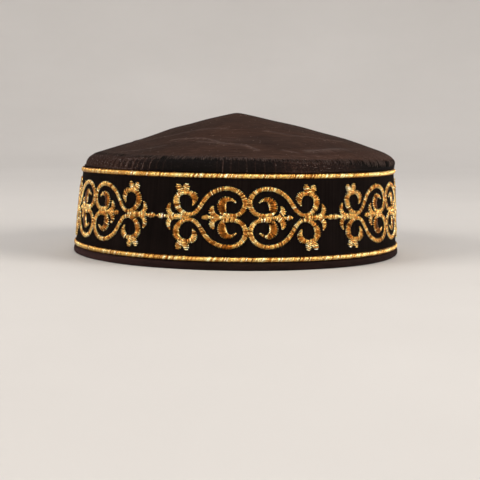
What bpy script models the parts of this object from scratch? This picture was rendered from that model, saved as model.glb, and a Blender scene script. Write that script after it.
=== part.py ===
"""A round tubeteika skullcap: a cone-shaped cloth crown over a velvet tape with gold scrollwork.

Metres, +Z up. The origin is the middle of the rim, on the surface that the cap rests on. The front is -Y,
where the middle of one repeat of the scrollwork lies. Directions round the cap are angles from the front,
growing towards +X.
"""

import math
from collections import namedtuple

import bmesh
import bpy

# Sizes of the whole cap, in metres
BORDER_RADIUS = 0.0950        # the cap's outer radius, at the lower gold border
BORDER_RISE = 0.0428          # from the middle of the lower border to the middle of the upper one
TAPER = 0.0033                # how much nearer the axis the upper border is
CROWN_RISE = 0.0322           # from the middle of the upper border to the tip
RIM_DROP = 0.0058             # from the middle of the lower border down to the rim
LEAN = 0.0010                 # how far the upper border stands over towards +X

# Thicknesses of the pieces
CROWN_THICKNESS = 0.0018
WALL_THICKNESS = 0.0018
TAPE_THICKNESS = 0.0010
BORDER_WIDTH = 0.0026
BORDER_THICKNESS = 0.0010
SCROLL_THICKNESS = 0.0010
BINDING_THICKNESS = 0.0013    # the binding's cloth; its outer leaf is folded double and fuller
BINDING_ROLL = 0.0010         # the rounding of the binding's folded edges
BINDING_HEIGHT = 0.0095       # how far the binding reaches up inside the wall
TUCK = 0.0030                 # how far the crown reaches down behind the tape
PILLOW = 0.0006               # how far the crown swells out over the tape's top edge
CLEARANCE = 0.0003

REPEATS = 6                   # repeats of the scrollwork round the cap
STEPS_PER_REPEAT = 8          # flat faces of each turned piece in one repeat
BORDER_STEPS = 6              # flat faces of a border's rounded front
ROLL_STEPS = 2                # flat faces of a rounded edge
SCROLL_FACES_KEPT = 0.70      # share of the joined scrollwork's faces that are worth keeping
CRISP_DIRECTION = math.radians(90)

# The crown's outer face from the tip down to the tape. Radii are shares of the crown's widest radius,
# heights are shares of CROWN_RISE above the upper border, and rings counts the rings on the way to the
# next row. One side has a slack shoulder and the other a crisp one.
Row = namedtuple("Row", "slack_radius slack_height crisp_radius crisp_height rings")
CROWN_OUTLINE = (
    Row(0.000, 1.000, 0.000, 1.000, rings=1),
    Row(0.055, 0.975, 0.055, 0.977, rings=2),
    Row(0.275, 0.812, 0.275, 0.838, rings=2),
    Row(0.626, 0.520, 0.626, 0.572, rings=2),
    Row(0.880, 0.290, 0.915, 0.340, rings=1),
    Row(0.940, 0.222, 0.972, 0.262, rings=1),
    Row(0.975, 0.143, 0.997, 0.165, rings=1),
    Row(0.994, 0.070, 1.000, 0.090, rings=0),
)

# Soft swells and dents of the crown. The direction is in degrees, the distance and the half widths are
# shares of the crown's radius, and the height is a share of the cloth's thickness. A negative height is a
# dent.
Swell = namedtuple("Swell", "direction distance half_round half_out height")
SWELLS = (
    Swell(46, 0.90, 0.26, 0.07, 0.45),
    Swell(-4, 0.56, 0.42, 0.10, -0.40),
    Swell(-70, 0.70, 0.30, 0.12, -0.30),
    Swell(150, 0.62, 0.38, 0.12, -0.35),
    Swell(212, 0.88, 0.30, 0.08, 0.30),
)

# The scrollwork's chart, drawn by hand on squared paper: the upper left quarter of one repeat, whose
# middle is at 0, 0. The other quarters mirror it. Each row is how far along and up the middle of a stroke
# runs and how wide the stroke is there, all in squares.
CHART_LONG = 98
CHART_HIGH = 43
CHART_SLANT = -0.045          # how far the work runs aslant, for each square up
AXIS_STROKE_LIFT = 0.9        # height of the strokes on the middle line, as a share of the others'
SPIRAL = (
    (-6.7, 8.7, 0.8),
    (-9.8, 9.5, 2.4),
    (-12.9, 8.0, 4.3),
    (-13.4, 4.6, 4.5),
    (-11.6, 1.9, 2.6),
    (-8.0, 1.0, 1.9),
    (-4.0, 2.3, 2.1),
    (-1.4, 5.4, 2.4),
    (-1.1, 9.2, 2.4),
    (-3.6, 12.6, 2.1),
    (-8.0, 14.7, 2.0),
    (-13.2, 14.8, 2.0),
    (-18.2, 12.8, 2.0),
    (-22.1, 9.4, 2.0),
    (-25.0, 5.0, 1.9),
    (-27.8, 2.0, 1.8),
    (-31.4, 1.3, 1.8),
    (-35.1, 2.9, 2.3),
    (-37.6, 6.2, 3.1),
    (-37.3, 9.9, 3.1),
    (-34.8, 12.0, 2.0),
    (-31.6, 12.4, 1.7),
    (-28.8, 11.6, 2.9),
    (-27.7, 9.2, 2.6),
    (-28.2, 6.7, 0.7),
)
LEFT_PETAL = ((-34.8, 12.3, 1.6), (-36.1, 14.7, 2.7), (-37.1, 16.3, 1.3))
RIGHT_PETAL = ((-32.9, 12.3, 1.6), (-32.4, 14.9, 2.6), (-32.0, 16.8, 1.3))
INNER_HORN = ((-18.0, 6.3, 0.8), (-18.7, 3.9, 2.6), (-17.2, 1.2, 2.4), (-15.4, 0.0, 1.6))
OUTER_HORN = ((-41.2, 6.7, 0.8), (-42.1, 4.0, 2.4), (-41.0, 1.6, 2.4), (-38.6, 0.0, 1.8))
INNER_BUD = ((-23.9, 0.0, 0.6), (-21.6, 0.0, 2.2), (-19.6, 0.0, 1.4), (-15.0, 0.0, 1.8), (-11.2, 0.0, 2.2))
OUTER_BUD = (
    (-48.5, 0.0, 0.6),
    (-45.9, 0.0, 2.1),
    (-43.6, 0.0, 1.5),
    (-38.0, 0.0, 2.8),
    (-32.4, 0.0, 2.2),
)
QUARTER_STROKES = (SPIRAL, LEFT_PETAL, RIGHT_PETAL, INNER_HORN, OUTER_HORN)
AXIS_STROKES = (INNER_BUD, OUTER_BUD)

steps = REPEATS * STEPS_PER_REPEAT
lower_height = RIM_DROP
upper_height = RIM_DROP + BORDER_RISE
tape_bottom = lower_height - BORDER_WIDTH / 2 - CLEARANCE / 2
tape_top = upper_height + BORDER_WIDTH / 2 + CLEARANCE / 2
tuck_bottom = tape_top - TUCK
crown_radius = BORDER_RADIUS - TAPER - BORDER_THICKNESS - CLEARANCE + PILLOW


def tape_face(height):
    """The radius of the tape's outer face at a height."""
    at_rim = BORDER_RADIUS - BORDER_THICKNESS - CLEARANCE
    return at_rim - TAPER * (height - lower_height) / BORDER_RISE


def tape_back(height):
    return tape_face(height) - TAPE_THICKNESS


def wall_face(height):
    return tape_back(height) - CLEARANCE


def wall_back(height):
    return wall_face(height) - WALL_THICKNESS


def lean_of_wall(radius, height):
    return LEAN * (height - lower_height) / BORDER_RISE


def lean_of_crown(radius, height):
    """The tip stands over the rim's middle, and the shoulder leans as far as the tape's top edge."""
    return LEAN * min(1.0, radius / wall_back(upper_height))


def placed(direction, radius, height, lean):
    """The point at a direction from the front, a radius and a height."""
    x = radius * math.sin(direction) + lean(radius, height)
    return (x, -radius * math.cos(direction), height)


def arc(radius, height, roll, start, end, count):
    """An arc in a section: its middle at a radius and a height, from one angle in degrees to another."""
    angles = [math.radians(start + (end - start) * k / count) for k in range(count + 1)]
    return [(radius + roll * math.cos(a), height + roll * math.sin(a)) for a in angles]


def smooth_through(rows, counts):
    """A Catmull-Rom curve through the rows, with so many steps from each row to the next."""
    points = []
    for i, count in enumerate(counts[:-1]):
        before = rows[max(i - 1, 0)]
        start = rows[i]
        end = rows[i + 1]
        after = rows[min(i + 2, len(rows) - 1)]
        for k in range(count):
            t = k / count
            weights = (
                -t**3 + 2 * t**2 - t,
                3 * t**3 - 5 * t**2 + 2,
                -3 * t**3 + 4 * t**2 + t,
                t**3 - t**2,
            )
            corners = zip(before, start, end, after)
            points.append(tuple(sum(w * c for w, c in zip(weights, corner)) / 2 for corner in corners))
    points.append(rows[-1])
    return points


def cloth_material(name, colour, roughness, metallic=0.0):
    made = bpy.data.materials.new(name)
    made.use_nodes = True
    shader = made.node_tree.nodes["Principled BSDF"]
    shader.inputs["Base Color"].default_value = (*colour, 1.0)
    shader.inputs["Roughness"].default_value = roughness
    shader.inputs["Metallic"].default_value = metallic
    made.diffuse_color = (*colour, 1.0)
    return made


def add_piece(name, bm, finish):
    """Turns a finished bmesh, closed and facing outwards, into one smooth-shaded piece."""
    mesh = bpy.data.meshes.new(name)
    bm.to_mesh(mesh)
    bm.free()
    mesh.materials.append(finish)
    mesh.shade_smooth()
    mesh.set_sharp_from_angle(angle=math.radians(40))
    piece = bpy.data.objects.new(name, mesh)
    bpy.context.scene.collection.objects.link(piece)
    return piece


def turned_ring(name, section, finish):
    """A ring whose section, a closed loop of radius and height, is carried round the leaning axis."""
    bm = bmesh.new()
    loops = []
    for i in range(steps):
        direction = 2 * math.pi * i / steps
        loops.append([bm.verts.new(placed(direction, r, z, lean_of_wall)) for r, z in section])
    for i, loop in enumerate(loops):
        following = loops[(i + 1) % steps]
        for k in range(len(section)):
            after = (k + 1) % len(section)
            bm.faces.new((loop[k], loop[after], following[after], following[k]))
    bmesh.ops.recalc_face_normals(bm, faces=bm.faces)
    return add_piece(name, bm, finish)


def swelling(direction, radius):
    """How far the crown's slack cloth stands above the plain cone here."""
    total = 0.0
    for swell in SWELLS:
        turn = math.remainder(direction - math.radians(swell.direction), 2 * math.pi)
        along = turn * radius / (swell.half_round * crown_radius)
        out = (radius / crown_radius - swell.distance) / swell.half_out
        total += swell.height * CROWN_THICKNESS * math.exp(-along**2 - out**2)
    return total


def crown_profile(direction):
    """The crown's outer face in one direction, from the tip to the skirt, as radius and height."""
    crisp = 0.5 + 0.5 * math.cos(direction - CRISP_DIRECTION)
    rows = []
    for row in CROWN_OUTLINE:
        radius = crown_radius * (row.slack_radius + crisp * (row.crisp_radius - row.slack_radius))
        height = upper_height + CROWN_RISE * (row.slack_height + crisp * (row.crisp_height - row.slack_height))
        rows.append((radius, height))
    curve = smooth_through(rows, [row.rings for row in CROWN_OUTLINE])
    return [(r, z + swelling(direction, r)) for r, z in curve]


def under_face(profile):
    """The crown's inner face: every second ring of the outer one, moved in by the cloth's thickness."""
    inner = []
    last = len(profile) - 1
    for i in range(2, last + 1, 2):
        r_before, z_before = profile[i - 1]
        r_after, z_after = profile[min(i + 1, last)]
        length = math.hypot(r_after - r_before, z_after - z_before)
        r, z = profile[i]
        inward = (z_after - z_before) / length
        inner.append((r + CROWN_THICKNESS * inward, z - CROWN_THICKNESS * (r_after - r_before) / length))
    return inner


def make_crown(finish):
    bm = bmesh.new()
    tip = bm.verts.new(placed(0, 0, upper_height + CROWN_RISE, lean_of_crown))
    under_tip = bm.verts.new(placed(0, 0, upper_height + CROWN_RISE - CROWN_THICKNESS, lean_of_crown))
    lip = tape_top + CLEARANCE
    strands = []
    for i in range(steps):
        direction = 2 * math.pi * i / steps
        outer = crown_profile(direction)
        skirt = arc(crown_radius - PILLOW, lip + PILLOW, PILLOW, 0, -90, ROLL_STEPS) + [
            (wall_face(lip), lip),
            (wall_face(tuck_bottom), tuck_bottom),
            (wall_back(tuck_bottom), tuck_bottom),
            (wall_back(tape_top), tape_top),
        ]
        points = outer[1:] + skirt + under_face(outer)[::-1]
        strands.append([bm.verts.new(placed(direction, r, z, lean_of_crown)) for r, z in points])
    for i, strand in enumerate(strands):
        following = strands[(i + 1) % steps]
        bm.faces.new((tip, strand[0], following[0]))
        bm.faces.new((under_tip, following[-1], strand[-1]))
        for k in range(len(strand) - 1):
            bm.faces.new((strand[k], strand[k + 1], following[k + 1], following[k]))
    bmesh.ops.recalc_face_normals(bm, faces=bm.faces)
    return add_piece("crown", bm, finish)


def make_side_wall(finish):
    bottom = BINDING_THICKNESS + CLEARANCE
    top = tuck_bottom - CLEARANCE
    section = [
        (wall_back(bottom), bottom),
        (wall_face(bottom), bottom),
        (wall_face(top), top),
        (wall_back(top), top),
    ]
    return turned_ring("side_wall", section, finish)


def binding_face(height):
    """The radius of the face that the binding's inner leaf turns to the wall."""
    return wall_back(height) - CLEARANCE


def make_rim_binding(finish):
    """A folded strip round the wall's lower edge. Its underside is flat where the cap rests on it."""
    top = tape_bottom - CLEARANCE
    roll = BINDING_ROLL
    outer = tape_face(0) + BORDER_THICKNESS / 2
    inner = binding_face(roll) - BINDING_THICKNESS
    upper_edge = arc(outer - roll, top - roll, roll, 60, 0, 1)
    outer_fold = arc(outer - roll, roll, roll, 0, -90, ROLL_STEPS)
    inner_fold = arc(inner + roll, roll, roll, -90, -180, 1)
    section = upper_edge + outer_fold + inner_fold + [
        (binding_face(BINDING_HEIGHT) - BINDING_THICKNESS, BINDING_HEIGHT),
        (binding_face(BINDING_HEIGHT), BINDING_HEIGHT),
        (binding_face(BINDING_THICKNESS), BINDING_THICKNESS),
        (wall_face(BINDING_THICKNESS) + CLEARANCE, BINDING_THICKNESS),
        (wall_face(top) + CLEARANCE, top),
    ]
    return turned_ring("rim_binding", section, finish)


def make_velvet_tape(finish):
    section = [
        (tape_back(tape_bottom), tape_bottom),
        (tape_face(tape_bottom), tape_bottom),
        (tape_face(tape_top), tape_top),
        (tape_back(tape_top), tape_top),
    ]
    return turned_ring("velvet_tape", section, finish)


def make_border(name, middle, finish):
    """One raised gold line: a half round of satin stitch, flat against the tape."""
    section = []
    for k in range(BORDER_STEPS + 1):
        angle = math.pi * (k / BORDER_STEPS - 0.5)
        height = middle + BORDER_WIDTH / 2 * math.sin(angle)
        section.append((tape_face(height) + CLEARANCE + BORDER_THICKNESS * math.cos(angle), height))
    return turned_ring(name, section, finish)


def mirrored(rows, along_sign, up_sign):
    return [(along_sign * along, up_sign * up, width) for along, up, width in rows]


def flat_stroke(rows, lift):
    """One stroke of the scrollwork, laid flat: a strip with a raised middle that follows the rows."""
    square = BORDER_RISE / CHART_HIGH
    long_square = 2 * math.pi * tape_face((lower_height + upper_height) / 2) / REPEATS / CHART_LONG
    bm = bmesh.new()
    stations = []
    for i, (along, up, width) in enumerate(rows):
        before = rows[max(i - 1, 0)]
        after = rows[min(i + 1, len(rows) - 1)]
        run = after[0] - before[0]
        rise = after[1] - before[1]
        length = math.hypot(run, rise)
        aside = (-rise / length * width / 2, run / length * width / 2)
        corners = ((aside[0], aside[1], 0.0), (0.0, 0.0, lift), (-aside[0], -aside[1], 0.0))
        stations.append([
            bm.verts.new(((along + a) * long_square, (up + b) * square, height)) for a, b, height in corners
        ])
    for start, end in zip(stations, stations[1:]):
        for k in range(3):
            bm.faces.new((start[k], start[(k + 1) % 3], end[(k + 1) % 3], end[k]))
    bm.faces.new(stations[0])
    bm.faces.new(stations[-1][::-1])
    bmesh.ops.recalc_face_normals(bm, faces=bm.faces)
    mesh = bpy.data.meshes.new("stroke")
    bm.to_mesh(mesh)
    bm.free()
    return bpy.data.objects.new("stroke", mesh)


def flat_scroll():
    """One whole repeat of the scrollwork, laid flat, its strokes joined into one body."""
    strokes = []
    for along_sign in (1, -1):
        for rows in QUARTER_STROKES:
            for up_sign in (1, -1):
                strokes.append(flat_stroke(mirrored(rows, along_sign, up_sign), SCROLL_THICKNESS))
        for rows in AXIS_STROKES:
            strokes.append(flat_stroke(mirrored(rows, along_sign, 1), AXIS_STROKE_LIFT * SCROLL_THICKNESS))
    others = bpy.data.collections.new("strokes")
    bpy.context.scene.collection.children.link(others)
    for stroke in strokes[1:]:
        others.objects.link(stroke)
    first = strokes[0]
    bpy.context.scene.collection.objects.link(first)
    union = first.modifiers.new("union", "BOOLEAN")
    union.operation = "UNION"
    union.operand_type = "COLLECTION"
    union.collection = others
    union.solver = "EXACT"
    thinned = first.modifiers.new("thinned", "DECIMATE")
    thinned.ratio = SCROLL_FACES_KEPT
    whole = bpy.data.meshes.new_from_object(first.evaluated_get(bpy.context.evaluated_depsgraph_get()))
    for stroke in strokes:
        bpy.data.objects.remove(stroke)
    bpy.data.collections.remove(others)
    return whole


def make_scroll(name, flat, direction, finish):
    """Bends the flat scroll round the tape, its middle at a direction from the front."""
    middle = (lower_height + upper_height) / 2
    bm = bmesh.new()
    bm.from_mesh(flat)
    bmesh.ops.triangulate(bm, faces=bm.faces)
    for vert in bm.verts:
        along, up, out = vert.co
        turn = direction + (along + CHART_SLANT * up) / tape_face(middle)
        height = middle + up
        radius = tape_face(height) + CLEARANCE + out
        vert.co = placed(turn, radius, height, lean_of_wall)
    return add_piece(name, bm, finish)


def main():
    for leftover in list(bpy.data.objects):
        bpy.data.objects.remove(leftover)
    crown_cloth = cloth_material("crown_cloth", (0.050, 0.036, 0.032), 0.85)
    wall_cloth = cloth_material("wall_cloth", (0.022, 0.017, 0.018), 0.90)
    binding_cloth = cloth_material("binding_cloth", (0.042, 0.030, 0.034), 0.85)
    velvet = cloth_material("black_velvet", (0.006, 0.005, 0.006), 0.95)
    gold_thread = cloth_material("gold_thread", (0.72, 0.44, 0.13), 0.35, metallic=0.8)
    make_crown(crown_cloth)
    make_side_wall(wall_cloth)
    make_rim_binding(binding_cloth)
    make_velvet_tape(velvet)
    make_border("upper_border", upper_height, gold_thread)
    make_border("lower_border", lower_height, gold_thread)
    flat = flat_scroll()
    for n in range(REPEATS):
        make_scroll(f"scroll_{n + 1}", flat, 2 * math.pi * n / REPEATS, gold_thread)
    bpy.data.meshes.remove(flat)


main()
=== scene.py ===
# %% [markdown]
# This lesson dresses a tubeteika, a stiff round skullcap. Its cone-shaped top is dark brushed cloth, its
# side is a black velvet tape with raised gold scrollwork between two gold lines, and a folded strip of
# cloth closes the rim. The frame holds the plain solids of these pieces, and each cell below makes one
# piece or one finish of the real cap on them.

# %% Load the frame
import math

import bpy
import numpy as np
from mathutils import Matrix, Vector


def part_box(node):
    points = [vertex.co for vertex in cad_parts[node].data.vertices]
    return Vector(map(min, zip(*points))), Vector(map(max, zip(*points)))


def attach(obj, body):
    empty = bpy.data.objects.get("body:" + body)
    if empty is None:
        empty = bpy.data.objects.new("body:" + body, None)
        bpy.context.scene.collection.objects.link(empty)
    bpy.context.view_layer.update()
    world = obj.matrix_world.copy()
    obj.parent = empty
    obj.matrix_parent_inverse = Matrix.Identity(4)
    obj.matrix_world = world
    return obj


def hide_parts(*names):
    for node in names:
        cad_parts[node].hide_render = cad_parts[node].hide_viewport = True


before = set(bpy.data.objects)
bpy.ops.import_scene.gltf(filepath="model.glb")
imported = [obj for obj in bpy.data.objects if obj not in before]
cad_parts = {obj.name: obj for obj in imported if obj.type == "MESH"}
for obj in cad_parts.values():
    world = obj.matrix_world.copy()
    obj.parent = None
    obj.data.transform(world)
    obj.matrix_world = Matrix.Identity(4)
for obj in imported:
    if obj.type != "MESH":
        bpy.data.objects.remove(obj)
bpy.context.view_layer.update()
print("nodes:", ", ".join(sorted(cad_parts)))

# %% [markdown]
# Every piece has to fit the solids, so no size is typed twice. The two gold borders give the cap's
# radius, its height and how much it narrows and leans, and the other boxes give the rest. Angles go
# round the cap from the front, -Y, towards +X. The stiff wall has sunk by a millimetre on the left, which
# is the one thing that the boxes don't hold.

# %% Sizes read from the frame
MM = 0.001
lower_low, lower_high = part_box("lower_border")
upper_low, upper_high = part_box("upper_border")
tape_low, tape_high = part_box("velvet_tape")
crown_low, crown_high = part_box("crown")
binding_low, binding_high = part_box("rim_binding")
wall_low, wall_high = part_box("side_wall")

lower_height = (lower_low.z + lower_high.z) / 2
upper_height = (upper_low.z + upper_high.z) / 2
border_rise = upper_height - lower_height
border_width = lower_high.z - lower_low.z
taper = upper_low.y - lower_low.y
whole_lean = (upper_low.x + upper_high.x) / 2
crown_radius = -crown_low.y
crown_rise = crown_high.z - upper_height


def tape_face(height):
    """The radius of the velvet's outer face at a height."""
    return -tape_low.y - taper * (height - tape_low.z) / border_rise


def wall_back(height):
    """The radius of the stiff wall's inner face at a height."""
    wall = -wall_low.y - taper * (height - wall_low.z) / border_rise
    return wall - WALL_THICKNESS


def wrapped_angle(angle):
    """Angles brought to between -pi and pi."""
    return (angle + math.pi) % (2 * math.pi) - math.pi


def sunken(turn):
    """How far the wall's top has sunk: it is a little lower on the left than elsewhere."""
    return SUNKEN_DEPTH * np.exp(-((wrapped_angle(turn - SUNKEN_DIRECTION) / SUNKEN_REACH) ** 2))


def on_the_wall(turn, radius, height):
    """Points on the leaning side of the cap, from directions, radii and heights."""
    share = (height - lower_height) / border_rise
    lowered = height - sunken(turn) * np.clip(share, 0.0, 1.2) ** 2
    aside = radius * np.sin(turn) + whole_lean * share
    return np.stack([aside, -radius * np.cos(turn), lowered], axis=-1)


def on_the_crown(turn, radius, height):
    """Points on the crown, whose tip stands over the rim's middle."""
    lean = whole_lean * np.minimum(1.0, radius / wall_back(upper_height))
    return np.stack([radius * np.sin(turn) + lean, -radius * np.cos(turn), height], axis=-1)


WALL_THICKNESS = 1.8 * MM
TAPE_THICKNESS = 1.0 * MM
CROWN_THICKNESS = 1.8 * MM
SEWN_GAP = 0.3 * MM
SUNKEN_DEPTH = 1.1 * MM
SUNKEN_DIRECTION = math.radians(-95)
SUNKEN_REACH = math.radians(32)
print(f"radius {-lower_low.y / MM:.1f} mm, rise {border_rise / MM:.1f} mm, crown {crown_rise / MM:.1f} mm")

# %% [markdown]
# The camera comes before the pieces, because they are judged through it. A long lens stands a little to
# the left and slightly above the rim, as the picture's two curved borders show. It is tilted down and
# very slightly rolled.

# %% The camera
CAMERA_DISTANCE = 0.700
CAMERA_HEIGHT = 0.0806
CAMERA_SIDE = math.radians(-3.0)
CAMERA_YAW = math.radians(0.20)
CAMERA_PITCH = math.radians(6.08)
CAMERA_ROLL = math.radians(0.74)
LENS = 89.25
SENSOR = 36.0


def camera_pose():
    ahead = Vector((math.sin(CAMERA_YAW), math.cos(CAMERA_YAW), 0.0))
    aside = Vector((math.cos(CAMERA_YAW), -math.sin(CAMERA_YAW), 0.0))
    upright = Vector((0.0, 0.0, 1.0))
    forward = math.cos(CAMERA_PITCH) * ahead - math.sin(CAMERA_PITCH) * upright
    above = math.sin(CAMERA_PITCH) * ahead + math.cos(CAMERA_PITCH) * upright
    right = math.cos(CAMERA_ROLL) * aside + math.sin(CAMERA_ROLL) * above
    up = math.cos(CAMERA_ROLL) * above - math.sin(CAMERA_ROLL) * aside
    pose = Matrix((right, up, -forward)).transposed().to_4x4()
    pose.translation = Vector((0.0, -CAMERA_DISTANCE, CAMERA_HEIGHT))
    return Matrix.Rotation(CAMERA_SIDE, 4, "Z") @ pose


camera_data = bpy.data.cameras.new("camera")
camera_data.lens = LENS
camera_data.sensor_width = SENSOR
camera_data.clip_start = 0.01
camera = bpy.data.objects.new("camera", camera_data)
camera.matrix_world = camera_pose()
bpy.context.scene.collection.objects.link(camera)
bpy.context.scene.camera = camera
print("camera at", [round(c, 4) for c in camera.matrix_world.translation])

# %% [markdown]
# A finish is a small network of nodes. The helpers here keep each one short: one makes a material with
# its fixed values on the shader's own sockets, one adds a node with its settings, and the others give
# the usual pieces, such as a noise, a colour ramp, a product of colours and the bumps.


# %% Helpers for the finishes
def new_finish(name, roughness, metallic=0.0, sheen=0.0, sheen_roughness=0.5, specular=0.5):
    """A new material, its tree and its shader, with the fixed values set on the shader."""
    made = bpy.data.materials.new(name)
    made.use_nodes = True
    shader = made.node_tree.nodes["Principled BSDF"]
    shader.inputs["Roughness"].default_value = roughness
    shader.inputs["Metallic"].default_value = metallic
    shader.inputs["Sheen Weight"].default_value = sheen
    shader.inputs["Sheen Roughness"].default_value = sheen_roughness
    shader.inputs["Specular IOR Level"].default_value = specular
    return made, made.node_tree, shader


def add_node(tree, kind, **values):
    """Adds a node. A value sets the node's setting of that name, or its input with spaces for _."""
    node = tree.nodes.new(kind)
    for key, value in values.items():
        if hasattr(node, key):
            setattr(node, key, value)
        else:
            node.inputs[key.replace("_", " ")].default_value = value
    return node


def stretched(tree, source, scale):
    """Texture coordinates, UV or Object, times one scale for all axes or a scale for each."""
    if isinstance(scale, float):
        scale = (scale, scale, scale)
    coordinates = add_node(tree, "ShaderNodeTexCoord")
    mapping = add_node(tree, "ShaderNodeMapping", Scale=scale)
    tree.links.new(coordinates.outputs[source], mapping.inputs["Vector"])
    return mapping.outputs["Vector"]


def noise(tree, source, scale, detail=3.0, roughness=0.6):
    texture = add_node(tree, "ShaderNodeTexNoise", Scale=1.0, Detail=detail, Roughness=roughness)
    tree.links.new(stretched(tree, source, scale), texture.inputs["Vector"])
    return texture.outputs["Fac"]


def wave(tree, source, scale, direction, distortion):
    texture = add_node(tree, "ShaderNodeTexWave", bands_direction=direction, Distortion=distortion)
    tree.links.new(stretched(tree, source, scale), texture.inputs["Vector"])
    return texture.outputs["Fac"]


def attribute(tree, name):
    return add_node(tree, "ShaderNodeAttribute", attribute_name=name).outputs["Fac"]


def from_left_to_right(tree):
    """0 at the cap's left edge and 1 at its right edge."""
    coordinates = add_node(tree, "ShaderNodeTexCoord")
    parts = add_node(tree, "ShaderNodeSeparateXYZ")
    tree.links.new(coordinates.outputs["Object"], parts.inputs["Vector"])
    across = add_node(tree, "ShaderNodeMapRange", From_Min=-0.09, From_Max=0.09)
    tree.links.new(parts.outputs["X"], across.inputs["Value"])
    return across.outputs["Result"]


def ramp(tree, value, *stops):
    """A colour ramp with a stop for each place and colour. A number for a colour is a grey."""
    node = add_node(tree, "ShaderNodeValToRGB")
    elements = node.color_ramp.elements
    while len(elements) < len(stops):
        elements.new(0.5)
    for element, (place, colour) in zip(elements, stops):
        if isinstance(colour, float):
            colour = (colour, colour, colour)
        element.position = place
        element.color = (*colour, 1.0)
    tree.links.new(value, node.inputs["Fac"])
    return node.outputs["Color"]


def mixed(tree, blend, first, second, amount=1.0):
    node = add_node(tree, "ShaderNodeMix", data_type="RGBA", blend_type=blend)
    node.inputs["Factor"].default_value = amount
    tree.links.new(first, node.inputs[6])
    tree.links.new(second, node.inputs[7])
    return node.outputs[2]


def multiplied(tree, colour, *others):
    for other in others:
        colour = mixed(tree, "MULTIPLY", colour, other)
    return colour


def added(tree, first, second):
    return mixed(tree, "ADD", first, second)


def complete(made, shader, colour, *bumps):
    """Gives a shader its colour and its bumps, each a height socket, a strength and a depth."""
    tree = made.node_tree
    tree.links.new(colour, shader.inputs["Base Color"])
    before = None
    for height, strength, depth in bumps:
        bump = add_node(tree, "ShaderNodeBump", Strength=strength, Distance=depth)
        tree.links.new(height, bump.inputs["Height"])
        if before:
            tree.links.new(before, bump.inputs["Normal"])
        before = bump.outputs["Normal"]
    if before:
        tree.links.new(before, shader.inputs["Normal"])
    print(made.name, len(tree.nodes), "nodes")


# %% [markdown]
# The crown's cloth is dark brown brushed cotton. The brushing leaves fine streaks that all run one way,
# left to right, and lint settles on it as pale specks. Streaks are a noise that is drawn out along X on
# Object coordinates, so they stay parallel over the whole cone, as in the cut cloth. The cloth carries a
# little painted shade on the left, and it is paler where an attribute says that it is rubbed, with a
# painted highlight there.

# %% Finish of the crown's cloth
crown_finish, tree, shader = new_finish("crown_cloth", 0.9, specular=0.09)
streaks = noise(tree, "Object", (90.0, 1500.0, 1500.0), detail=4.0, roughness=0.65)
cloth = ramp(
    tree, streaks,
    (0.28, (0.0145, 0.0058, 0.0034)), (0.52, (0.0305, 0.0134, 0.0082)), (0.78, (0.069, 0.0340, 0.0225)),
)
patches = noise(tree, "Object", (28.0, 60.0, 60.0))
patchy = ramp(tree, patches, (0.3, 0.72), (0.7, (1.25, 1.23, 1.22)))
# painted shade: the cloth is darker towards the cap's left and a little paler on its right
painted_side_light = ramp(
    tree, from_left_to_right(tree),
    (0.0, (0.66, 0.64, 0.62)), (0.45, 1.0), (1.0, (1.08, 1.04, 1.04)),
)
# paler along the crease ridges and near the fold: rubbed, with a painted highlight
rubbed = ramp(tree, attribute(tree, "wear_and_highlight"), (0.05, 0.0), (1.0, (0.034, 0.026, 0.0235)))
broken = ramp(tree, streaks, (0.35, 0.3), (0.65, 1.5))
toned = added(tree, multiplied(tree, cloth, patchy, painted_side_light), multiplied(tree, rubbed, broken))
lint = noise(tree, "Object", 900.0, detail=0.0)
specks = ramp(tree, lint, (0.79, 0.0), (0.83, (0.10, 0.075, 0.06)))
nap = noise(tree, "Object", 2600.0, detail=2.0)
complete(
    crown_finish, shader, added(tree, toned, specks),
    (streaks, 0.5, 0.12 * MM), (nap, 0.45, 0.08 * MM),
)

# %% [markdown]
# The strip of the crown below its fold is the same cloth, gathered and rubbed. It is painted in shade
# where the gathers lie deep, in front and on the cap's right; the ridges there get a painted highlight,
# and pale specks of lint lie on what is not in shadow. An attribute called shade says how dark each
# point is.

# %% Finish of the gathered shoulder
shoulder_finish, tree, shader = new_finish("shoulder_cloth", 0.9, specular=0.08)
shade = attribute(tree, "shade")
# shade 0 is a painted highlight on the ridges, 0.25 the plain cloth, and higher values painted shade
depth = ramp(
    tree, shade,
    (0.0, (0.078, 0.052, 0.045)), (0.25, (0.0238, 0.0106, 0.0073)),
    (0.6, (0.0120, 0.0066, 0.0052)), (1.0, (0.0030, 0.0022, 0.0019)),
)
rubbing = noise(tree, "UV", (1300.0, 550.0, 1.0))
rubbed = ramp(tree, rubbing, (0.3, 0.50), (0.7, (1.55, 1.53, 1.52)))
lint = noise(tree, "UV", 1100.0, detail=0.0)
specks = ramp(tree, lint, (0.71, 0.0), (0.77, (0.14, 0.115, 0.105)))
on_top = ramp(tree, shade, (0.25, 1.0), (0.8, 0.08))
nap = noise(tree, "UV", 2600.0, detail=2.0)
complete(
    shoulder_finish, shader, added(tree, multiplied(tree, depth, rubbed), multiplied(tree, specks, on_top)),
    (rubbing, 0.5, 0.12 * MM), (nap, 0.5, 0.08 * MM),
)

# %% [markdown]
# Velvet is a dense upright pile. It swallows light seen straight on and gives a faint glow at a grazing
# angle, which is what the shader's sheen does. The tape's ribbed ground shows through as very faint
# upright lines.

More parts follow.
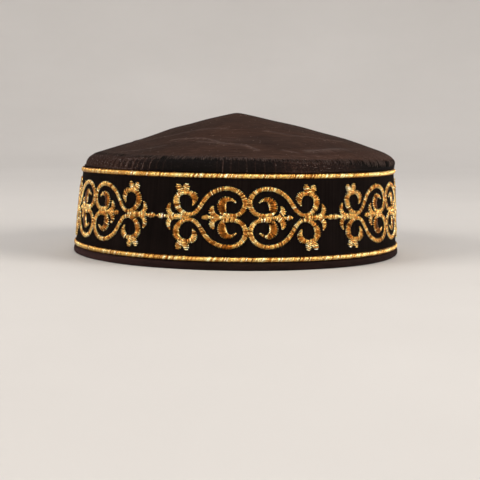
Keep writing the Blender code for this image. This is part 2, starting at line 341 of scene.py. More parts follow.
# %% Finish of the velvet
velvet_finish, tree, shader = new_finish(
    "black_velvet", 0.95, sheen=0.01, sheen_roughness=0.35, specular=0.03,
)
ribs = noise(tree, "UV", (950.0, 22.0, 1.0), detail=2.0)
crushed = noise(tree, "UV", (70.0, 55.0, 1.0))
pile = ramp(tree, ribs, (0.3, (0.0030, 0.0020, 0.0017)), (0.75, (0.0075, 0.0050, 0.0042)))
lying = ramp(tree, crushed, (0.3, 0.75), (0.75, (1.35, 1.3, 1.3)))
nap = noise(tree, "UV", 3500.0, detail=2.0)
complete(
    velvet_finish, shader, multiplied(tree, pile, lying),
    (ribs, 0.35, 0.10 * MM), (nap, 0.6, 0.10 * MM),
)

# %% [markdown]
# The binding is a dark red-brown cotton strip, and the wall inside is a plain dark stiffened cotton.
# Both are woven, so two crossed waves at the pitch of the yarn make their grain. Both get painted light
# across the cap: they are palest on the cap's left and in painted shade a little left of the middle.


# %% Finishes of the binding and the wall
def woven_finish(name, dark, light, yarn):
    """A plain weave whose threads lie a yarn's width apart, with soft patches of wear."""
    made, tree, shader = new_finish(name, 0.9, specular=0.1)
    pitch = (0.5 / yarn, 0.5 / yarn, 1.0)
    warp = wave(tree, "UV", pitch, "X", 0.6)
    weft = wave(tree, "UV", pitch, "Y", 0.6)
    weave = mixed(tree, "MULTIPLY", warp, weft, 0.5)
    patches = noise(tree, "UV", (60.0, 240.0, 1.0), detail=4.0)
    colour = ramp(tree, patches, (0.3, dark), (0.75, light))
    grain = ramp(tree, noise(tree, "UV", pitch, detail=2.0), (0.2, 0.75), (0.8, 1.2))
    # painted light and shade across the cap: palest on the left, darkest a little left of the middle
    painted_side_light = ramp(
        tree, from_left_to_right(tree),
        (0.0, (1.4, 1.3, 1.35)), (0.4, (0.45, 0.38, 0.30)), (1.0, (0.62, 0.52, 0.45)),
    )
    complete(
        made, shader, multiplied(tree, colour, grain, painted_side_light),
        (weave, 0.4, 0.08 * MM), (patches, 0.3, 0.3 * MM),
    )
    return made


binding_finish = woven_finish("binding_cloth", (0.012, 0.0056, 0.0052), (0.030, 0.0140, 0.0135), 0.35 * MM)
wall_finish = woven_finish("wall_cloth", (0.010, 0.0060, 0.0055), (0.024, 0.0150, 0.0130), 0.40 * MM)

# %% [markdown]
# Gold embroidery thread is a thin metal strip wound on a core, so it shines like metal but its shine is
# broken into glints: a fine noise bumps it, and a second noise paints glints into its colour. The tone
# attribute, made with each stitch, moves its colour from deep amber to pale gold, and a slanted wave on
# the stitch's own UV map is the winding. Beside random differences between threads, the tone holds
# painted highlights and painted shade.

# %% Finish of the gold thread
gold_finish, tree, shader = new_finish("gold_thread", 0.25, metallic=0.95)
# the tone's low end is painted shade and its high end a painted highlight, beside random differences
# between threads
gold = ramp(
    tree, attribute(tree, "tone"),
    (0.0, (0.11, 0.031, 0.004)), (0.25, (0.46, 0.158, 0.020)), (0.55, (0.82, 0.54, 0.155)),
    (0.80, (1.0, 0.92, 0.54)), (1.0, (1.0, 1.0, 0.80)),
)
# painted glints: a fine noise makes the gold's colour brighter and darker in small spots
sparkle = noise(tree, "Object", 1300.0, detail=1.0)
uneven = ramp(tree, sparkle, (0.34, (0.58, 0.52, 0.45)), (0.66, (1.34, 1.40, 1.46)))
winding = wave(tree, "UV", (700.0, 0.6, 1.0), "DIAGONAL", 0.4)
glints = noise(tree, "Object", 1700.0, detail=1.0)
complete(
    gold_finish, shader, multiplied(tree, gold, uneven),
    (winding, 0.35, 0.05 * MM), (glints, 0.7, 0.14 * MM),
)

# %% [markdown]
# The overlock stitching on the crown's edge is dull cotton thread, some of it black and some as brown as
# the cloth, with more black where the shoulder is painted in shade. The tone attribute says which.

# %% Finish of the overlock thread
overlock_finish, tree, shader = new_finish("overlock_thread", 0.8, specular=0.08)
yarn = ramp(tree, attribute(tree, "tone"), (0.0, (0.004, 0.0032, 0.0028)), (1.0, (0.095, 0.066, 0.056)))
fibres = noise(tree, "UV", (900.0, 6.0, 1.0), detail=2.0)
frayed = ramp(tree, fibres, (0.3, 0.6), (0.8, 1.4))
complete(overlock_finish, shader, multiplied(tree, yarn, frayed), (fibres, 0.4, 0.05 * MM))

# %% [markdown]
# Cloth that goes round a cap starts as a flat grid, as the real strip starts flat. Its corners are then
# put round the cap by a function, its two ends are merged into a seam, and its normals are made
# consistent before it gets any thickness. The UV map keeps real metres along and across the strip.


# %% A helper that wraps cloth round the cap
def wrapped_cloth(name, columns, rows, size, place):
    """A grid wrapped once round the cap. place turns arrays of turns and shares across into points."""
    bpy.ops.object.select_all(action="DESELECT")
    bpy.ops.mesh.primitive_grid_add(x_subdivisions=columns, y_subdivisions=rows, size=1.0)
    piece = bpy.context.object
    piece.name = name
    mesh = piece.data
    mesh.name = name
    flat = np.empty(len(mesh.vertices) * 3)
    mesh.vertices.foreach_get("co", flat)
    flat = flat.reshape(-1, 3)
    points = place(2 * math.pi * (flat[:, 0] + 0.5), flat[:, 1] + 0.5)
    mesh.vertices.foreach_set("co", points.ravel())
    uv = np.empty(len(mesh.loops) * 2)
    layer = mesh.uv_layers.active
    layer.data.foreach_get("uv", uv)
    uv = uv.reshape(-1, 2) * np.array(size)
    layer.data.foreach_set("uv", uv.ravel())
    bpy.ops.object.mode_set(mode="EDIT")
    bpy.ops.mesh.select_all(action="SELECT")
    bpy.ops.mesh.remove_doubles(threshold=0.001 * MM)
    bpy.ops.mesh.normals_make_consistent(inside=False)
    bpy.ops.object.mode_set(mode="OBJECT")
    face_outwards(piece)
    bpy.ops.object.shade_smooth()
    return piece


def face_outwards(piece):
    """Turns the normals round if most of an open cloth's faces point at the cap's middle."""
    mesh = piece.data
    normals = np.empty(len(mesh.polygons) * 3)
    centres = np.empty(len(mesh.polygons) * 3)
    mesh.polygons.foreach_get("normal", normals)
    mesh.polygons.foreach_get("center", centres)
    outward = (normals * centres).reshape(-1, 3)[:, :2].sum()
    if outward < 0 and not is_closed(mesh):
        bpy.ops.object.mode_set(mode="EDIT")
        bpy.ops.mesh.select_all(action="SELECT")
        bpy.ops.mesh.flip_normals()
        bpy.ops.object.mode_set(mode="OBJECT")


def is_closed(mesh):
    """True if each edge has two faces."""
    return 2 * len(mesh.edges) == len(mesh.loops)


THIN_EDGE_SHARE = 0.18


def thicken(piece, thickness, thin_edge=None):
    """Gives a cloth its thickness, inwards. thin_edge names a vertex group, 0 where it thins out."""
    wall = piece.modifiers.new("wall", "SOLIDIFY")
    wall.thickness = thickness
    wall.offset = -1.0
    wall.use_even_offset = True
    if thin_edge:
        wall.vertex_group = thin_edge
        wall.thickness_vertex_group = THIN_EDGE_SHARE
    bpy.ops.object.modifier_apply(modifier=wall.name)


def mark(piece, name, values):
    """Stores one number for each corner as an attribute that a finish can read."""
    attribute = piece.data.attributes.new(name, "FLOAT", "POINT")
    attribute.data.foreach_set("value", np.asarray(values, np.float32))


def dress(piece, finish, slot, *nodes):
    """Gives a finished piece its material and its body, and hides the solids that it stands for. slot is
    not used.
    """
    piece.data.materials.clear()
    piece.data.materials.append(finish)
    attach(piece, "root")
    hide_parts(*nodes)
    triangles = sum(len(face.vertices) - 2 for face in piece.data.polygons)
    print(f"{piece.name}: {triangles} triangles, closed {is_closed(piece.data)}")


def smooth_curve(values, place):
    """A Catmull-Rom curve through the values, read at places counted in values from the first."""
    values = np.asarray(values, float)
    last = len(values) - 1
    start = np.clip(np.floor(place).astype(int), 0, last - 1)
    t = place - start
    before = values[np.maximum(start - 1, 0)]
    after = values[np.minimum(start + 2, last)]
    return (
        (-t**3 + 2 * t**2 - t) * before
        + (3 * t**3 - 5 * t**2 + 2) * values[start]
        + (-3 * t**3 + 4 * t**2 + t) * values[start + 1]
        + (t**3 - t**2) * after
    ) / 2


# %% [markdown]
# The crown's outline differs from side to side: its shoulder is slack on the left and crisp on the
# right. One short table holds both outlines as shares of the crown's radius and rise, and every
# direction takes its own mix of the two. Broad swells and dents are added to that.

# %% The crown's outline
CRISP_DIRECTION = math.radians(90)
SLACK_RADII = (0.000, 0.055, 0.275, 0.626, 0.880, 0.944, 0.970, 0.977)
SLACK_HEIGHTS = (1.000, 0.975, 0.816, 0.508, 0.280, 0.206, 0.125, 0.045)
CRISP_RADII = (0.000, 0.055, 0.275, 0.626, 0.880, 0.970, 0.997, 0.998)
CRISP_HEIGHTS = (1.000, 0.977, 0.842, 0.604, 0.373, 0.258, 0.168, 0.090)
LAST_ROW = len(SLACK_RADII) - 1
# direction in degrees, distance, half width round, half width out, height as a share of the thickness
SWELLS = (
    (46, 0.90, 0.26, 0.07, 0.75),
    (-4, 0.56, 0.42, 0.10, -0.40),
    (-70, 0.70, 0.30, 0.12, -0.22),
    (-96, 0.42, 0.30, 0.10, 0.42),
    (150, 0.62, 0.38, 0.12, -0.35),
    (212, 0.88, 0.30, 0.08, 0.30),
)


def swelling(turn, radius):
    total = np.zeros_like(radius)
    for direction, distance, half_round, half_out, height in SWELLS:
        along = wrapped_angle(turn - math.radians(direction)) * radius / (half_round * crown_radius)
        out = (radius / crown_radius - distance) / half_out
        total += height * CROWN_THICKNESS * np.exp(-along**2 - out**2)
    return total


def crown_outline(turn, row):
    """The radius and height of the crown's outer face, at places counted in rows from the tip."""
    crisp = 0.5 + 0.5 * np.cos(turn - CRISP_DIRECTION)
    radii = smooth_curve(SLACK_RADII, row) * (1 - crisp) + smooth_curve(CRISP_RADII, row) * crisp
    heights = smooth_curve(SLACK_HEIGHTS, row) * (1 - crisp) + smooth_curve(CRISP_HEIGHTS, row) * crisp
    radius = crown_radius * radii
    return radius, upper_height + crown_rise * heights + swelling(turn, radius)


def lifted_outline(turn, row, lift):
    """The crown's outline, raised square to the cloth by a lift."""
    step = 0.02
    radius, height = crown_outline(turn, row)
    before_radius, before_height = crown_outline(turn, row - step)
    after_radius, after_height = crown_outline(turn, row + step)
    run = after_radius - before_radius
    drop = after_height - before_height
    length = np.hypot(run, drop)
    return radius - lift * drop / length, height + lift * run / length


row_lengths = np.hypot(np.diff(SLACK_RADII) * crown_radius, np.diff(SLACK_HEIGHTS) * crown_rise)
row_places = np.concatenate([[0.0], np.cumsum(row_lengths)])
print(f"from tip to shoulder {row_places[-1] / MM:.1f} mm along the cloth")

# %% [markdown]
# Long shallow creases lie on the crown, most of them across its front, where the cloth has been pressed.
# Each one is a short list of given points, and the cloth rises along it in a soft ridge with a
# shallow valley on either side, deeper on the line's right. They are worked out from the distance of
# each corner to the line. The same distance says where the cloth is paler: rubbed, with a painted
# highlight on the ridge.

# %% The crown's creases
# x and y of the points in millimetres, then the ridge's height and half width in millimetres
CREASES = (
    (((-38, -41), (-28, -45), (-21, -48), (-15, -55), (-12, -61), (-4, -65), (1, -66), (7, -74)),
     0.34, 0.9),
    (((-24, -53), (-18, -57), (-10, -63), (-1, -65)), 0.26, 0.8),
    (((20, -72), (28, -74)), 0.22, 0.8),
    (((-70, -37), (-55, -48), (-42, -51)), 0.20, 1.0),
    (((34, -70), (42, -66), (49, -61), (55, -55.5)), 0.40, 1.7),
    (((-52, -24), (-38, -30), (-22, -31), (-8, -36)), 0.16, 1.2),
    (((14, -40), (30, -43), (46, -40), (58, -33)), 0.16, 1.3),
    (((30, 52), (12, 60), (-8, 62), (-24, 55)), 0.30, 1.0),
    (((-58, 20), (-60, 2), (-55, -14)), 0.22, 1.2),
    (((52, 34), (62, 18), (64, 2)), 0.24, 1.1),
    (((-30, 66), (-44, 56), (-55, 42)), 0.26, 1.0),
)

# the valley's depth, distance and half width, as shares of the ridge's height and half width
VALLEY_DEPTH = 0.45
VALLEY_PLACE = 2.2
VALLEY_WIDTH = 1.3
FAR_VALLEY = 0.3
# the pale band along each crease ridge, rubbed and with a painted highlight: its half width as a share of
# the ridge's, and the ridge height in millimetres at which it is full
PALE_RIDGE_WIDTH = 1.5
PALE_RIDGE_FROM = 0.3


def distance_to_line(x, y, points):
    """The distance to a line through the points, and on which side of it each place lies."""
    nearest = np.full_like(x, 1.0)
    side = np.zeros_like(x)
    for (ax, ay), (bx, by) in zip(points, points[1:]):
        ax, ay, bx, by = ax * MM, ay * MM, bx * MM, by * MM
        length = math.hypot(bx - ax, by - ay)
        ux, uy = (bx - ax) / length, (by - ay) / length
        along = np.clip((x - ax) * ux + (y - ay) * uy, 0.0, length)
        gap = np.hypot(x - ax - along * ux, y - ay - along * uy)
        closer = gap < nearest
        side = np.where(closer, np.sign((y - ay) * ux - (x - ax) * uy), side)
        nearest = np.where(closer, gap, nearest)
    return nearest, side


def creasing(x, y):
    """How much higher the cloth is along the creases, and how pale it is there: rubbed, with a painted
    highlight.
    """
    total = np.zeros_like(x)
    wear_and_highlight = np.zeros_like(x)
    for points, height, half_width in CREASES:
        gap, side = distance_to_line(x, y, points)
        gap = gap / (half_width * MM)
        depth = VALLEY_DEPTH * np.where(side < 0, 1.0, FAR_VALLEY)
        valley = depth * np.exp(-((gap - VALLEY_PLACE) / VALLEY_WIDTH) ** 2)
        total += height * MM * (np.exp(-gap**2) - valley)
        wear_and_highlight = np.maximum(wear_and_highlight, np.exp(-((gap / PALE_RIDGE_WIDTH) ** 2)) * min(1.0, height / PALE_RIDGE_FROM))
    return total, wear_and_highlight


def rumple(turn, radius, seed, waves, longest):
    """A seeded sum of long waves over the crown, from -1 to 1 or so, for hand-made unevenness."""
    chance = np.random.default_rng(seed)
    x, y = radius * np.sin(turn), -radius * np.cos(turn)
    total = np.zeros_like(radius)
    for k in range(waves):
        heading = chance.uniform(0, math.pi)
        length = longest * chance.uniform(0.35, 1.0)
        phase = chance.uniform(0, 2 * math.pi)
        along = x * math.cos(heading) + y * math.sin(heading)
        total += np.sin(2 * math.pi * along / length + phase)
    return total / math.sqrt(waves)


print(len(CREASES), "creases")

# %% [markdown]
# The crown itself is one grid wrapped into a cone, its far edge at the fold of the shoulder. The fold
# lies higher on the left than on the right, as a table says. Near it the cloth is slightly puckered by
# the stitching and thinner, so a vertex group holds the thickness back there. It is also paler there in
# patches, most towards the front right: rubbed, with a painted highlight.

# %% The crown
CROWN_COLUMNS = 480
CROWN_RINGS = 92
# direction in degrees, then the outline's row at which the crown's cloth ends there
FOLD = (
    (-180, 4.6), (-110, 4.4), (-80, 4.08), (-60, 4.06), (-40, 4.28), (-15, 4.37), (0, 4.54), (15, 4.80),
    (30, 5.07), (40, 5.34), (52, 5.72), (72, 5.86), (90, 6.15), (120, 5.9), (150, 5.1), (180, 4.6),
)
RUMPLE_HEIGHT = 0.12 * MM
PUCKER_HEIGHT = 0.16 * MM
PUCKERS = 71
FINE_PUCKERS = 170
PUCKER_REACH = 7 * MM
STILL_CENTRE = 20 * MM
STILL_EDGE = 5 * MM
THINNING = 5 * MM
EDGE_WEAR_AND_LIGHT = 0.55
EDGE_WEAR_REACH = 5 * MM
MOST_WORN_AND_LIT = math.radians(35)


def fold_row(turn):
    directions, rows = zip(*FOLD)
    return np.interp(np.degrees(wrapped_angle(turn)), directions, rows)


def crown_rows(turn, share):
    """Turns shares of the cloth's length from the tip to the edge into rows of the outline."""
    edge = np.interp(fold_row(turn), range(LAST_ROW + 1), row_places)
    return np.interp(share * edge, row_places, range(LAST_ROW + 1))


def crown_place(turn, share):
    row = crown_rows(turn, share)
    radius, height = crown_outline(turn, row)
    flat = on_the_crown(turn, radius, height)
    to_edge = (1 - share) * row_places[-1]
    inside = np.minimum(1.0, radius / STILL_CENTRE) * (1.0 - np.exp(-((to_edge / STILL_EDGE) ** 2)))
    uneven = RUMPLE_HEIGHT * rumple(turn, radius, 11, 14, 60 * MM) * inside
    wobble = np.sin(PUCKERS * turn + 1.7 * np.sin(5 * turn))
    wobble += 0.6 * np.sin(FINE_PUCKERS * turn + 2.0)
    pucker = PUCKER_HEIGHT * (0.6 + 0.3 * wobble) * np.exp(-((to_edge / PUCKER_REACH) ** 2))
    flat[:, 2] += creasing(flat[:, 0], flat[:, 1])[0] + uneven + pucker
    return flat


crown_girth = 2 * math.pi * crown_radius
crown_size = (crown_girth, row_places[-1])
crown = wrapped_cloth("crown_cloth", CROWN_COLUMNS, CROWN_RINGS, crown_size, crown_place)
radii = np.array([math.hypot(vertex.co.x, vertex.co.y) for vertex in crown.data.vertices])
full = crown.vertex_groups.new(name="full")
for index, radius in enumerate(radii):
    full.add([index], min(1.0, max(0.0, (radii.max() - radius) / THINNING)), "REPLACE")
thicken(crown, CROWN_THICKNESS, "full")
bpy.ops.object.shade_smooth_by_angle(angle=math.radians(40))
crown_corners = np.array([vertex.co for vertex in crown.data.vertices])
x, y = crown_corners[:, 0], crown_corners[:, 1]
crown_turn = np.arctan2(x, -y)
edge_radius = crown_outline(crown_turn, fold_row(crown_turn))[0]
from_edge = edge_radius - np.hypot(x, y)
# near the fold the cloth is painted paler in patches, most towards the front right: rubbed, with a painted
# highlight
patchy = np.random.default_rng(14).uniform(0.4, 1.0, len(x))
rubbed_and_lit_edge = EDGE_WEAR_AND_LIGHT * (0.55 + 0.45 * np.cos(crown_turn - MOST_WORN_AND_LIT)) * patchy
rubbed_and_lit_edge = rubbed_and_lit_edge * np.exp(-((from_edge / EDGE_WEAR_REACH) ** 2))
mark(crown, "wear_and_highlight", np.maximum(creasing(x, y)[1], rubbed_and_lit_edge))
dress(crown, crown_finish, "crown_cloth", "crown")

# %% [markdown]
# Below the fold the cloth is gathered in many small upright pleats and tucked behind the velvet. A
# closed section is carried round the cap, finely enough to show each pleat, and the grooves between
# the pleats are pressed in at seeded places. They are deepest on the left, where the shoulder is
# slack. A table says how much painted shade the gathers get in each direction, and there a groove is
# in painted shade sooner than a ridge, so that the dark cloth still shows its pleats. Where the gathers
# are mostly in shade, their ridges get a painted highlight.

# %% The gathered shoulder
SHOULDER_COLUMNS = 1440
SHOULDER_LOOP = 20 * MM
OUTER_ROWS = 19
PLEAT_PITCH = 3.9 * MM
PLEAT_DEPTH = 0.26 * MM
PILLOW = 0.6 * MM
UNDER_EDGE = 0.4 * MM
HIDDEN_ROWS = 0.4
HIDDEN_FADE = 0.12
BACK_ROW = LAST_ROW - 0.3
LEFT_TUCK = 1.3 * MM
lip = tape_high.z + SEWN_GAP
tuck = crown_low.z


def wall_face(height):
    return wall_back(height) + WALL_THICKNESS


def shoulder_section(turn):
    """The radii and heights of the shoulder's closed section, a column for each turn."""
    points = []
    first = fold_row(turn) - HIDDEN_ROWS
    for share in np.linspace(0, 1, OUTER_ROWS):
        row = first + (LAST_ROW - first) * share
        under = UNDER_EDGE * np.maximum(0.0, 1.0 - (row - first) / (HIDDEN_ROWS + HIDDEN_FADE)) ** 2
        points.append(lifted_outline(turn, row, -under))
    drawn_in = LEFT_TUCK * (0.5 - 0.5 * np.cos(turn - CRISP_DIRECTION)) ** 4
    for angle in (0, -30, -60, -90):
        out = math.cos(math.radians(angle)) - 1
        points.append((
            crown_radius - drawn_in + PILLOW * out,
            lip - sunken(turn) + PILLOW * (1 + math.sin(math.radians(angle))),
        ))
    for radius, height in (
        (wall_face(lip), lip),
        (wall_face(tuck), tuck),
        (wall_back(tuck), tuck),
        (wall_back(lip), lip),
    ):
        points.append((np.full_like(turn, radius), np.full_like(turn, height)))
    for share in np.linspace(0, 1, 5):
        row = BACK_ROW + (first - BACK_ROW) * share
        points.append(lifted_outline(turn, row, -CROWN_THICKNESS))
    return points


def groove_turns():
    """The directions of the grooves, from the back round to the back again."""
    chance = np.random.default_rng(5)
    turns = [-math.pi]
    while turns[-1] < math.pi:
        turns.append(turns[-1] + PLEAT_PITCH * chance.uniform(0.5, 1.5) / crown_radius)
    turns = np.array(turns)
    return -math.pi + (turns + math.pi) * 2 * math.pi / (turns[-1] + math.pi)


def on_the_pleat(turn):
    """Where in a pleat a direction lies: 0 in a groove, 1 or a little less on the ridge."""
    grooves = groove_turns()
    place = np.interp(wrapped_angle(turn), grooves, np.arange(len(grooves)))
    fullness = np.random.default_rng(15).uniform(0.87, 1.03, len(grooves))
    return (1.0 - np.abs(1.0 - 2.0 * (place % 1.0))) * fullness[place.astype(int)]


# direction in degrees, how much of the cloth lies in shadow, how far the pleats show, how speckled it is
SHADOWS = (
    (-180, 0.45, 1.0, 0.10), (-140, 0.25, 1.0, 0.10), (-93, 0.02, 0.8, 0.15), (-62, 0.05, 0.8, 0.40),
    (-54, 0.25, 1.0, 0.50), (-46, 0.50, 1.0, 0.48), (-38, 0.72, 1.0, 0.36), (-31, 0.93, 1.0, 0.15),
    (-23, 1.02, 0.5, 0.08), (-13, 0.98, 0.6, 0.08), (-9, 0.88, 1.0, 0.10), (8, 0.88, 1.0, 0.12),
    (13, 0.70, 0.6, 0.35), (16, 0.55, 0.1, 0.70), (30, 0.60, 0.1, 0.70), (38, 0.78, 0.1, 0.50),
    (46, 0.98, 0.1, 0.12), (60, 1.10, 0.1, 0.05), (95, 1.00, 0.2, 0.05), (130, 0.75, 1.0, 0.15),
    (180, 0.45, 1.0, 0.10),
)
SHADOW_EDGE = 0.22
# how dark the cloth is, then how many millimetres below the fold its dark notches begin
NOTCHES = ((0.0, 3.0), (0.5, 1.9), (0.7, 1.1), (0.95, 0.2))
NOTCH_FADE = 1.2 * MM
VELVET_FADE = 0.8 * MM
# the shade at which the shoulder's finish is the plain cloth
PLAIN_SHADE = 0.25
# the pleats show on the outer face's middle and fade out towards the fold and the velvet
PLEATS_MIDDLE = 0.56
PLEATS_REACH = 0.33


def shadowed(turn, column):
    table = np.array(SHADOWS)
    return np.interp(np.degrees(wrapped_angle(turn)), table[:, 0], table[:, column])


def slackness(turn):
    """How deep the gathers are: 1 on the left and least on the right."""
    return 0.55 - 0.45 * np.cos(turn - CRISP_DIRECTION)


def shoulder_place(turn, share):
    """Puts the grid's rows on the section: the last row meets the first."""
    section = shoulder_section(turn)
    count = len(section)
    grooves = (1.0 - on_the_pleat(turn)) ** 2 * slackness(turn) * PLEAT_DEPTH
    place = share * count
    radii = np.array([radius for radius, height in section] + [section[0][0]])
    heights = np.array([height for radius, height in section] + [section[0][1]])
    index = np.clip(np.floor(place + 1e-4).astype(int), 0, count)
    across = place - index
    following = np.minimum(index + 1, count)
    every = np.arange(len(turn))
    radius = radii[index, every] * (1 - across) + radii[following, every] * across
    height = heights[index, every] * (1 - across) + heights[following, every] * across
    shown = np.exp(-(((place / OUTER_ROWS - PLEATS_MIDDLE) / PLEATS_REACH) ** 4))
    return on_the_crown(turn, radius - grooves * shown, height)


section_count = len(shoulder_section(np.zeros(1)))
shoulder_size = (crown_girth, SHOULDER_LOOP)
shoulder = wrapped_cloth("shoulder_gathers", SHOULDER_COLUMNS, section_count, shoulder_size, shoulder_place)

corners = np.array([vertex.co for vertex in shoulder.data.vertices])
corner_turn = np.arctan2(corners[:, 0], -corners[:, 1])
# the shade attribute is painted shade: in the grooves, below the fold, just above the velvet, in front and
# on the right
dark = shadowed(corner_turn, 1)
pleat = 0.5 + shadowed(corner_turn, 2) * (on_the_pleat(corner_turn) - 0.5)
in_shadow = np.clip(0.5 + (dark - pleat) / SHADOW_EDGE, 0.0, 1.0)
fold_height = crown_outline(corner_turn, fold_row(corner_turn))[1]
drop = np.interp(dark, *zip(*NOTCHES)) * MM
below_fold = np.clip((fold_height - drop - corners[:, 2]) / NOTCH_FADE + 0.5, 0.0, 1.0)
above_velvet = np.clip((corners[:, 2] - lip - drop / 2) / VELVET_FADE + 2.0 * dark, 0.0, 1.0)
speckle = shadowed(corner_turn, 3) * np.random.default_rng(6).normal(0, 0.8, len(corner_turn))
# where the gathers are mostly in shade, the ridges out of it get a painted highlight, paler than the plain
# cloth
lightest = np.interp(dark, (0.1, 0.8), (PLAIN_SHADE, 0.0))
shade = np.clip(in_shadow + speckle, 0.0, 1.0) * below_fold * above_velvet
shade = lightest + (1.0 - lightest) * shade * np.clip(0.15 + 0.9 * dark, 0.0, 1.0)
mark(shoulder, "shade", np.where(below_fold > 0, shade, PLAIN_SHADE))
dress(shoulder, shoulder_finish, "crown_cloth", "crown")

# %% [markdown]
# The velvet tape is a straight strip sewn into a ring, so it narrows only a little upwards. A grid is
# wrapped at the tape's face with hardly seen waves, because stitched velvet is never quite flat, and a
# Solidify modifier gives the wall.

# %% The velvet tape
TAPE_COLUMNS = 360
TAPE_ROWS = 24
TAPE_WAVE = 0.07 * MM


def tape_place(turn, share):
    height = tape_low.z + share * (tape_high.z - tape_low.z)
    wave = TAPE_WAVE * (np.sin(17 * turn + 4 * share) + np.sin(31 * turn + 1.0 - 6 * share))
    return on_the_wall(turn, tape_face(height) + wave * np.sin(math.pi * share), height)


tape_size = (2 * math.pi * tape_face(lower_height), tape_high.z - tape_low.z)
tape = wrapped_cloth("velvet_band", TAPE_COLUMNS, TAPE_ROWS, tape_size, tape_place)
thicken(tape, TAPE_THICKNESS)
dress(tape, velvet_finish, "black_velvet", "velvet_tape")

# %% [markdown]
# Behind the velvet stands the stiff wall that keeps the cap round. Only its inner face shows, from
# below. It is made as the tape is.

# %% The stiff wall
WALL_COLUMNS = 240
WALL_ROWS = 16


def wall_place(turn, share):
    height = wall_low.z + share * (wall_high.z - wall_low.z)
    return on_the_wall(turn, wall_face(height), height)


wall_size = (-2 * math.pi * wall_low.y, wall_high.z - wall_low.z)
wall = wrapped_cloth("wall_cloth", WALL_COLUMNS, WALL_ROWS, wall_size, wall_place)
thicken(wall, WALL_THICKNESS)
dress(wall, wall_finish, "wall_cloth", "side_wall")

# %% [markdown]
# The binding is folded over the wall's lower edge: a full, soft outer leaf, a fold that the cap rests
# on and a leaf that reaches up inside. Its section is one closed loop of a few points, and both leaves
# swell and dip a little round the cap.

# %% The rim binding
BINDING_COLUMNS = 480
BINDING_LOOP = 24 * MM
ROWS_A_POINT = 3
BINDING_CLOTH = 1.3 * MM
BINDING_SWELL = 0.22 * MM
outer_top = tape_low.z - SEWN_GAP
outer_radius = -binding_low.y
inner_leaf_top = binding_high.z


def inner_leaf_face(height):
    """The radius of the face that the inner leaf turns to the wall."""
    return wall_back(height) - SEWN_GAP


# radius and height of the section's points in order, and how much each one swells
BINDING_SECTION = (
    (wall_face(outer_top) + SEWN_GAP, outer_top, 0.0),
    (outer_radius - 0.8 * MM, outer_top, 0.0),
    (outer_radius - 0.15 * MM, outer_top - 0.45 * MM, 0.7),
    (outer_radius + 0.10 * MM, outer_top - 1.5 * MM, 1.0),
    (outer_radius + 0.05 * MM, 1.3 * MM, 1.0),
    (outer_radius - 0.35 * MM, 0.35 * MM, 0.8),
    (outer_radius - 1.2 * MM, 0.0, 0.0),
    (inner_leaf_face(0) + 0.4 * MM, 0.0, 0.0),
    (inner_leaf_face(0) - 0.7 * MM, 0.15 * MM, 0.0),
    (inner_leaf_face(1 * MM) - BINDING_CLOTH, 1.3 * MM, 0.0),
    (inner_leaf_face(5 * MM) - BINDING_CLOTH, 5.0 * MM, 0.6),
    (inner_leaf_face(inner_leaf_top) - BINDING_CLOTH, inner_leaf_top - 0.4 * MM, 0.4),
    (inner_leaf_face(inner_leaf_top) - 0.6 * BINDING_CLOTH, inner_leaf_top, 0.0),
    (inner_leaf_face(inner_leaf_top), inner_leaf_top - 0.3 * MM, 0.0),
    (inner_leaf_face(BINDING_CLOTH), BINDING_CLOTH + 0.1 * MM, 0.0),
    (wall_face(BINDING_CLOTH) + SEWN_GAP, BINDING_CLOTH + 0.1 * MM, 0.0),
)


def binding_place(turn, share):
    section = np.array(BINDING_SECTION + BINDING_SECTION[:1])
    place = share * (len(section) - 1)
    index = np.clip(np.floor(place).astype(int), 0, len(section) - 2)
    across = (place - index)[:, None]
    ring = section[index] * (1 - across) + section[index + 1] * across
    swell = 0.6 * np.sin(9 * turn + 1.0) + 0.5 * np.sin(23 * turn + 2.0)
    swell += 0.35 * np.sin(61 * turn + ring[:, 1] / MM)
    return on_the_wall(turn, ring[:, 0] + BINDING_SWELL * swell * ring[:, 2], ring[:, 1])


binding_size = (2 * math.pi * outer_radius, BINDING_LOOP)
binding_rows = ROWS_A_POINT * len(BINDING_SECTION)
binding = wrapped_cloth("binding_strip", BINDING_COLUMNS, binding_rows, binding_size, binding_place)
dress(binding, binding_finish, "binding_cloth", "rim_binding")

# %% [markdown]
# Satin stitch lays many short threads side by side over a padding, so each thread is a small bowed tube
# that dives into the velvet at both ends. There are thousands, and an operator for each one would take
# far too long, so they are built together from arrays: one function turns many thread paths into one
# mesh of closed five-sided tubes of thirty faces each. A second one makes the padding.

# %% A helper that makes threads
SIDES = 5
# the padding is painted dark: painted shade in the gaps between the threads
PADDING_TONE = 0.08


def thread_faces(stations):
    """The faces of one thread, whose corners are a tip, rings of SIDES corners and a last tip."""
    rings = stations - 2
    last = 1 + rings * SIDES
    faces = []
    for k in range(SIDES):
        faces.append((0, 1 + (k + 1) % SIDES, 1 + k))
    for ring in range(rings - 1):
        start = 1 + ring * SIDES
        for k in range(SIDES):
            after = (k + 1) % SIDES
            faces.append((start + k, start + after, start + SIDES + after, start + SIDES + k))
    start = 1 + (rings - 1) * SIDES
    for k in range(SIDES):
        faces.append((start + k, start + (k + 1) % SIDES, last))
    return faces


def thread_uv(faces, stations):
    """Where each face's corners lie along the thread, as a station, and round it, as a share."""
    spots = []
    rings = stations - 2
    for number, face in enumerate(faces):
        k = number % SIDES
        if number < SIDES:
            spots += [(0, k / SIDES), (1, (k + 1) / SIDES), (1, k / SIDES)]
        elif number < SIDES * rings:
            ring = number // SIDES
            spots += [(ring, k / SIDES), (ring, (k + 1) / SIDES)]
            spots += [(ring + 1, (k + 1) / SIDES), (ring + 1, k / SIDES)]
        else:
            spots += [(rings, k / SIDES), (rings, (k + 1) / SIDES), (rings + 1, k / SIDES)]
    return np.array(spots)


